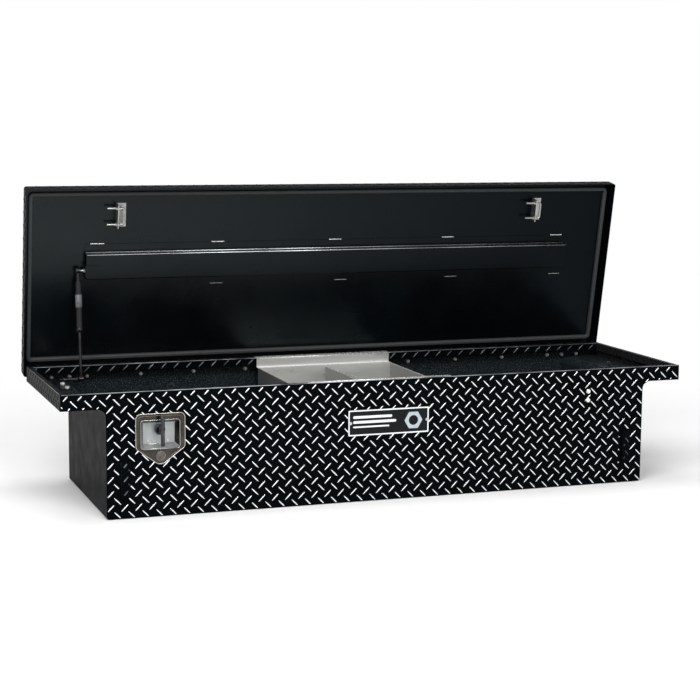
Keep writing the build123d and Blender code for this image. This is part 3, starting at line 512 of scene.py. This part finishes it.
bright = [tread_edge, tread_bright]
panel_size = (2 * half_length, rim_z)
front_phase = (-half_length + 0.0157, rim_z - 0.007 - 9 * PITCH)
bm = bmesh.new()
tread_field(bm, front_place, panel_size, front_phase, on_front)
piece("front_tread_bars", bm, bright, "tub")
bm = bmesh.new()
tread_field(bm, front_place, panel_size, front_phase, on_louvre)
piece("louvre_tread_bars", bm, [tread_edge, tread_dim], "tub")

bm = bmesh.new()
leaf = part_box("hinge_body_leaf")


def on_back(x, z):
    """On the back panel, clear of the hinge's leaf."""
    return on_t_shape(x, z) and not (leaf[0].x - 0.002 < x < leaf[1].x + 0.002 and z > leaf[0].z - 0.003)


tread_field(bm, lambda x, z, h: (x, back_y + h, z), panel_size, (-half_length + 0.02, 0.011), on_back)
piece("back_tread_bars", bm, bright, "tub")

bm = bmesh.new()
rim_front = (front_y, front_y + 0.013)
rim_back = (back_y - 0.032, back_y)
tread_field(bm, lambda x, y, h: (x, y, rim_z + h), (2 * half_length, 0.013),
            (-half_length + 0.01, rim_front[0] - 0.004), within((-half_length, half_length), rim_front, 0.0026))
tread_field(bm, lambda x, y, h: (x, y, rim_z + h), (2 * half_length, 0.032),
            (-half_length + 0.012, rim_back[0] + 0.009), within((-half_length, half_length), rim_back, 0.0026))
flange_z = (rim_z - 0.022, rim_z)
inner_span = (-half_length + 0.016, half_length - 0.016)
tread_field(bm, lambda x, z, h: (x, rim_back[0] - h, z), (2 * half_length, 0.022),
            (-half_length + 0.0157, rim_z - 0.012), within(inner_span, flange_z, 0.0016))
tread_field(bm, lambda x, z, h: (x, rim_front[1] + h, z), (2 * half_length, 0.022),
            (-half_length + 0.0157, rim_z - 0.012), within(inner_span, flange_z, 0.0016))
# The rim flanges' bars take the dimmer tread metal, a painted shade.
piece("rim_tread_bars", bm, [tread_edge, tread_dim], "tub")

bm = bmesh.new()
wing_y = (front_y + 0.002, back_y - 0.002)
for side in (-1, 1):
    tread_field(bm, lambda y, z, h: (side * (half_length + h), y, z), (0.508, 0.042),
                (wing_y[0] + 0.012, wing_z + 0.012), within(wing_y, (wing_z, rim_z), 0.002))
# The wing ends' bars are painted dark, a painted shade.
piece("wing_end_tread_bars", bm, [tread_edge, tread_shaded_black], "tub")

bm = bmesh.new()
rim_between = (rim_front[1] + 0.004, rim_back[0] - 0.004)
for side in (-1, 1):
    tread_field(bm, lambda y, z, h: (side * (half_length - 0.013 - h), y, z), (0.46, 0.022),
                (wing_y[0] + 0.02, rim_z - 0.011), within(rim_between, flange_z, 0.0016))
    tread_field(bm, lambda x, y, h: (side * x, y, rim_z + h), (0.013, 0.46),
                (half_length - 0.0085, wing_y[0] + 0.02),
                within((half_length - 0.013, half_length), rim_between, 0.0016))
# The wing rims' bars take the dimmer tread metal, a painted shade.
piece("wing_rim_tread_bars", bm, [tread_edge, tread_dim], "tub")


# The lid's bars are laid out on the closed lid and turned with it.
bm = bmesh.new()
tread_field(bm, lambda x, y, h: to_open @ Vector((x, y, lid_high.z + h)), (lid_high.x - lid_low.x, 0.54),
            (lid_low.x + 0.016, lid_low.y + 0.012), within((lid_low.x, lid_high.x), (lid_low.y, lid_high.y), 0.004))
piece("lid_tread_bars", bm, bright, "lid")
bm = bmesh.new()
for y, way in ((lid_low.y, -1), (lid_high.y, 1)):
    tread_field(bm, lambda x, z, h: to_open @ Vector((x, y + way * h, z)), (lid_high.x - lid_low.x, 0.036),
                (lid_low.x + 0.016, lid_low.z + 0.010),
                within((lid_low.x + 0.007, lid_high.x - 0.007), (lid_low.z, lid_high.z - 0.002), 0.0016))
for x, way in ((lid_low.x, -1), (lid_high.x, 1)):
    tread_field(bm, lambda y, z, h: to_open @ Vector((x + way * h, y, z)), (0.54, 0.036),
                (lid_low.y + 0.016, lid_low.z + 0.010),
                within((lid_low.y + 0.007, lid_high.y - 0.007), (lid_low.z, lid_high.z - 0.002), 0.0016))
# The lid's end flange bars are painted dark, a painted shade of the backlit flanges.
piece("lid_end_tread_bars", bm, [tread_edge, tread_shaded_black], "lid")


# ------------------------------------------------------------------ sheet edges
# Bright metal lines along the folded rims: a painted highlight of the sheet's edges.
bm = bmesh.new()
edge = 0.0009               # radius of the painted highlight line
add_ring_tube(bm, [Vector((-half_length + 0.0035, front_y + 0.0009, rim_z - 0.0004)),
                   Vector((half_length - 0.0035, front_y + 0.0009, rim_z - 0.0004))], edge, closed=False)
add_ring_tube(bm, [Vector((-half_length + 0.014, rim_back[0] + 0.0004, rim_z - 0.0003)),
                   Vector((half_length - 0.014, rim_back[0] + 0.0004, rim_z - 0.0003))], edge, closed=False)
for side in (-1, 1):
    x = side * (half_length - 0.0009)
    add_ring_tube(bm, [Vector((x, front_y + 0.004, rim_z - 0.0004)), Vector((x, back_y - 0.004, rim_z - 0.0004))],
                  0.0007, closed=False)
piece("rim_highlight_lines", bm, shader("rim_highlight_metal", (0.62, 0.64, 0.68), 0.4, metallic=0.8,
                                   tint=(0.05, 0.055, 0.06), scale=14, rough_span=0.1), "tub")


# ------------------------------------------------------------------ badge
def rounded(x_low, x_high, z_low, z_high, radius, steps=5):
    """Outline of a rectangle with round corners, as (x, z) points."""
    points = []
    corners = ((x_high - radius, z_high - radius, 0), (x_low + radius, z_high - radius, 90),
               (x_low + radius, z_low + radius, 180), (x_high - radius, z_low + radius, 270))
    for x, z, start in corners:
        for k in range(steps + 1):
            angle = math.radians(start + 90 * k / steps)
            points.append((x + radius * math.cos(angle), z + radius * math.sin(angle)))
    return points


def add_frame(bm, outer, inner, y_front, y_back):
    """A raised flat frame between two outlines with the same number of points."""
    rings = [[bm.verts.new((x, y, z)) for x, z in line]
             for line, y in ((outer, y_back), (outer, y_front), (inner, y_front), (inner, y_back))]
    for a, b in zip(rings, rings[1:]):
        join_rings(bm, a, b)


badge_front = badge_box[0].y - 0.0004   # how far the raised work stands out of the plate
badge_sunk = badge_box[0].y + 0.0002    # and how far its foot goes in
x0, x1 = badge_box[0].x, badge_box[1].x
z0, z1 = badge_box[0].z, badge_box[1].z
bm = bmesh.new()
rim_width = 0.0042
add_frame(bm, rounded(x0 + 0.0006, x1 - 0.0006, z0 + 0.0006, z1 - 0.0006, 0.003),
          rounded(x0 + rim_width, x1 - rim_width, z0 + rim_width, z1 - rim_width, 0.0016),
          badge_front, badge_sunk)
piece("badge_border", bm, badge_light, "tub", smooth=False)
bm = bmesh.new()
for width, high, level in ((0.112, 0.0036, 0.020), (0.124, 0.0036, 0.0335), (0.104, 0.0022, 0.0465)):
    top = z1 - level + high
    add_slab(bm, rounded(x0 + 0.014, x0 + 0.014 + width, top - 2 * high, top, high * 0.9),
             badge_front, badge_sunk, 0.0002)
piece("badge_plain_stripes", bm, badge_light, "tub", smooth=False)
bm = bmesh.new()
centre = (x1 - 0.045, (z0 + z1) / 2)


def polygon(radius, sides):
    """Corners of a regular polygon about the nut's centre."""
    return [(centre[0] + radius * math.cos(2 * math.pi * k / sides),
             centre[1] + radius * math.sin(2 * math.pi * k / sides)) for k in range(sides)]


def hexagon(radius, steps):
    """A hexagon with several points on each side, to match a circle's count."""
    corners = polygon(radius, 6)
    line = []
    for k in range(6):
        a, b = corners[k], corners[(k + 1) % 6]
        for s in range(steps):
            line.append((a[0] + (b[0] - a[0]) * s / steps, a[1] + (b[1] - a[1]) * s / steps))
    return line


add_frame(bm, hexagon(0.026, 8), polygon(0.0135, 48), badge_front, badge_sunk)
piece("badge_plain_nut", bm, badge_grey, "tub", smooth=False)


# ------------------------------------------------------------------ latch edges
def dish_outline_points(inset, y):
    """The shield outline with its rounded corners, from the dish's box."""
    left, right = dish_box[0].x + inset, dish_box[1].x - inset
    top = dish_box[1].z - inset
    shoulder = dish_box[1].z - 0.091
    tip = dish_box[0].z - 0.0054 + inset * 1.3
    corners = [Vector((left, y, top)), Vector((left, y, shoulder)), Vector((dish_mid, y, tip)),
               Vector((right, y, shoulder)), Vector((right, y, top))]
    radii = [0.013, 0.013, 0.022, 0.013, 0.013]
    points = []
    for k, corner in enumerate(corners):
        before = (corners[k - 1] - corner).normalized()
        after = (corners[(k + 1) % 5] - corner).normalized()
        half = before.angle(after) / 2
        cut = radii[k] / math.tan(half)
        hub = corner + (before + after).normalized() * (radii[k] / math.sin(half))
        start, end = corner + before * cut - hub, corner + after * cut - hub
        for s in range(9):
            share = s / 8
            mixed = start.lerp(end, share).normalized() * radii[k]
            points.append(hub + mixed)
    return points


# A bright steel line along the dish's edge, a painted highlight of its rolled edge.
bm = bmesh.new()
add_ring_tube(bm, dish_outline_points(0.0012, dish_box[0].y + 0.0008), 0.0011)
piece("latch_edge_highlight_line", bm, dish_highlight_steel, "tub")

bm = bmesh.new()
add_ring_tube(bm, dish_outline_points(0.0068, dish_box[0].y + 0.0003), 0.0008)
lock_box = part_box("lock_plug")
lock_mid = ((lock_box[0].x + lock_box[1].x) / 2, (lock_box[0].z + lock_box[1].z) / 2)
for radius in (0.0098, 0.0062):
    add_ring_tube(bm, [Vector((lock_mid[0] + radius * math.cos(k * math.pi / 16), lock_box[0].y - 0.0002,
                               lock_mid[1] + radius * math.sin(k * math.pi / 16))) for k in range(32)], 0.0006)
piece("latch_inner_beads", bm, bead_steel, "tub")

slope = 0.0095              # how far each side of the recess comes in towards its floor
recess_low, recess_high = 0.179, 0.254
recess_half = 0.0515
recess_floor_y = -0.2368
# Bright steel lines round the recess's opening and along its lower bends, painted highlights.
bm = bmesh.new()
opening = rounded(dish_mid - recess_half, dish_mid + recess_half, recess_low, recess_high, 0.006)
add_ring_tube(bm, [Vector((x, dish_box[0].y + 0.0004, z)) for x, z in opening], 0.0007)
for z, y, half in ((recess_low - 0.0002, dish_box[0].y + 0.0004, recess_half - 0.008),
                   (recess_low + slope, recess_floor_y, recess_half - slope - 0.003)):
    add_ring_tube(bm, [Vector((dish_mid - half, y, z)), Vector((dish_mid + half, y, z))], 0.0011, closed=False)
piece("latch_recess_highlight_lines", bm, dish_highlight_steel, "tub")


# ------------------------------------------------------------------ tray edges
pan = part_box("tray_pan")
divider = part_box("tray_divider")
# Bright tubes along the tray's top edges: painted highlights.
bm = bmesh.new()
for x, y_low, y_high, z in ((pan[0].x + 0.0012, pan[0].y + 0.004, pan[1].y - 0.004, pan[1].z),
                            (pan[1].x - 0.0012, pan[0].y + 0.004, pan[1].y - 0.004, pan[1].z),
                            ((divider[0].x + divider[1].x) / 2, divider[0].y + 0.003, divider[1].y - 0.003,
                             divider[1].z)):
    add_ring_tube(bm, [Vector((x, y_low, z - 0.0003)), Vector((x, y_high, z - 0.0003))], 0.0014, closed=False)
for name in ("tray_back_hanger", "tray_front_hanger"):
    low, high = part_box(name)
    add_ring_tube(bm, [Vector((low.x + 0.002, low.y + 0.0008, high.z - 0.0004)),
                       Vector((high.x - 0.002, low.y + 0.0008, high.z - 0.0004))], 0.0011, closed=False)
piece("tray_highlight_edges", bm, tray_highlight, "tray")


# ------------------------------------------------------------------ gas strut dress
upper = Vector(next(j for j in frame["joints"] if j["name"] == "strut_swing")["pos_m"])
line = Vector(next(j for j in frame["joints"] if j["name"] == "strut_stroke")["axis"]).normalized()


def add_sleeve(bm, start, end, radius, sides=32):
    """A thin sleeve with rounded ends round the strut, between two distances from the upper ball."""
    side = line.cross(Vector((1, 0, 0))).normalized()
    other = side.cross(line).normalized()
    rings = []
    for distance, r in ((start, radius - 0.0006), (start + 0.0004, radius),
                        (end - 0.0004, radius), (end, radius - 0.0006)):
        centre = upper - line * distance
        rings.append([bm.verts.new(centre + side * (r * math.cos(2 * math.pi * k / sides))
                                   + other * (r * math.sin(2 * math.pi * k / sides))) for k in range(sides)])
    for a, b in zip(rings, rings[1:]):
        join_rings(bm, a, b)


bm = bmesh.new()
add_sleeve(bm, 0.066, 0.102, 0.00925)
piece("strut_label", bm, label_film, "strut_cylinder")
bm = bmesh.new()
add_sleeve(bm, 0.158, 0.1695, 0.0098)
piece("strut_end_collar", bm, strut_black, "strut_cylinder")


# ------------------------------------------------------------------ stitch welds on the stiffener
bm = bmesh.new()
stiffener = [to_open.inverted() @ v.co for v in nodes["lid_stiffener"].data.vertices]
low_y, high_y = min(p.y for p in stiffener), max(p.y for p in stiffener)
low_x, high_x = min(p.x for p in stiffener), max(p.x for p in stiffener)
under = max(p.z for p in stiffener)
stitches = ((low_y - 0.0004, (0.023, 0.258, 0.497, 0.738, 0.98), 0.0017),
            (high_y + 0.0004, (0.258, 0.514, 0.752, 0.985), 0.0011))
for y, shares, radius in stitches:
    for share in shares:
        x = low_x + (high_x - low_x) * share
        path = []
        for k in range(13):
            wave = 0.0006 * math.sin(k * 1.9 + share * 40)
            path.append(to_open @ Vector((x - 0.019 + k * 0.0032, y + wave, under - 0.0009 + wave * 0.5)))
        add_ring_tube(bm, path, radius, closed=False)
piece("stiffener_weld_beads", bm, weld_metal, "lid")

# The channel's two upper bends catch the light along their whole length.
face_level = min(p.z for p in stiffener)
bend_y = min(p.y for p in stiffener if p.z < face_level + 0.004)
bm = bmesh.new()
for y, z, radius in ((bend_y + 0.0003, face_level + 0.0004, 0.0014), (bend_y - 0.001, under - 0.003, 0.0012)):
    add_ring_tube(bm, [to_open @ Vector((low_x + 0.002, y, z)), to_open @ Vector((high_x - 0.002, y, z))], radius,
                  closed=False)
piece("stiffener_bend_sheen", bm, bend_sheen, "lid")


# ------------------------------------------------------------------ stage, light and camera
bm = bmesh.new()
bmesh.ops.create_grid(bm, x_segments=2, y_segments=2, size=30)
mesh = bpy.data.meshes.new("studio_floor")
bm.to_mesh(mesh)
bm.free()
floor = bpy.data.objects.new("studio_floor", mesh)
floor.location.z = -0.0008
scene.collection.objects.link(floor)
mesh.materials.append(shader("studio_floor_paint", (0.84, 0.84, 0.84), 0.8, specular=0.05, tint=(0.83, 0.83, 0.83)))
# The floor fades to a plain bright ground away from the box, so that no horizon shows.
floor_tree = mesh.materials[0].node_tree
floor_out = node_of(floor_tree, "OUTPUT_MATERIAL")
floor_body = node_of(floor_tree, "BSDF_PRINCIPLED")
reach = floor_tree.nodes.new("ShaderNodeVectorMath")
reach.operation = "LENGTH"
floor_tree.links.new(node_of(floor_tree, "TEX_COORD").outputs["Object"], reach.inputs[0])
fade = map_range(floor_tree, reach.outputs["Value"], 0.9, 2.2)
fade.interpolation_type = "SMOOTHSTEP"
glow = floor_tree.nodes.new("ShaderNodeEmission")
blend = floor_tree.nodes.new("ShaderNodeMixShader")
floor_tree.links.new(fade.outputs[0], blend.inputs[0])
floor_tree.links.new(floor_body.outputs[0], blend.inputs[1])
floor_tree.links.new(glow.outputs[0], blend.inputs[2])
floor_tree.links.new(blend.outputs[0], floor_out.inputs[0])

world = bpy.data.worlds.new("studio_world")
scene.world = world
world.use_nodes = True
sky = world.node_tree
way = sky.nodes.new("ShaderNodeTexCoord")
axes = sky.nodes.new("ShaderNodeSeparateXYZ")
sky.links.new(way.outputs["Generated"], axes.inputs[0])
# Bright at the horizon, darker overhead and to the right, brighter in front.
height = map_range(sky, axes.outputs["Z"], 0.1, 0.5, 1.0, 0.55)
aside = map_range(sky, axes.outputs["X"], 0.55, 0.95, 1.0, 0.5)
ahead = map_range(sky, axes.outputs["Y"], -0.85, -0.3, 1.5, 1.0)
strength = height.outputs[0]
for factor in (aside, ahead):
    product = sky.nodes.new("ShaderNodeMath")
    product.operation = "MULTIPLY"
    sky.links.new(strength, product.inputs[0])
    sky.links.new(factor.outputs[0], product.inputs[1])
    strength = product.outputs[0]
sky.nodes["Background"].inputs["Color"].default_value = (1.0, 1.0, 1.0, 1)
sky.links.new(strength, sky.nodes["Background"].inputs["Strength"])


def softbox(name, location, target, size, power):
    """A rectangular area light aimed at a point."""
    light = bpy.data.lights.new(name, "AREA")
    light.shape = "RECTANGLE"
    light.size, light.size_y = size
    light.energy = power
    lamp = bpy.data.objects.new(name, light)
    lamp.location = location
    lamp.rotation_euler = (Vector(target) - Vector(location)).to_track_quat("-Z", "Y").to_euler()
    scene.collection.objects.link(lamp)


softbox("key_softbox", (-2.4, -2.6, 3.4), (-0.3, 0, 0.2), (2.2, 2.2), 115)
softbox("front_softbox", (-0.1, -3.4, 3.2), (0, 0, 0.2), (1.6, 1.2), 75)
softbox("top_softbox", (-0.2, 0.7, 3.8), (-0.3, 0, 0.2), (2.4, 1.8), 45)

FOCAL_PIXELS = 1733.2
FRAME_PIXELS = 700
SENSOR_MM = 36
CAMERA_PLACE = (-1.6724, -4.5428, 1.0675)

yaw, pitch, roll = (math.radians(a) for a in (19.974, 8.147, 0.496))
forward = Vector((math.sin(yaw) * math.cos(pitch), math.cos(yaw) * math.cos(pitch), -math.sin(pitch)))
right = Vector((math.cos(yaw), -math.sin(yaw), 0))
up = right.cross(forward)
right_rolled = math.cos(roll) * right + math.sin(roll) * up
up_rolled = -math.sin(roll) * right + math.cos(roll) * up
camera_data = bpy.data.cameras.new("camera")
camera_data.sensor_width = SENSOR_MM
camera_data.lens = FOCAL_PIXELS / FRAME_PIXELS * SENSOR_MM
camera_data.clip_end = 200
camera = bpy.data.objects.new("camera", camera_data)
turn = Matrix((right_rolled, up_rolled, -forward)).transposed().to_4x4()
camera.matrix_world = Matrix.Translation(CAMERA_PLACE) @ turn
scene.collection.objects.link(camera)
scene.camera = camera
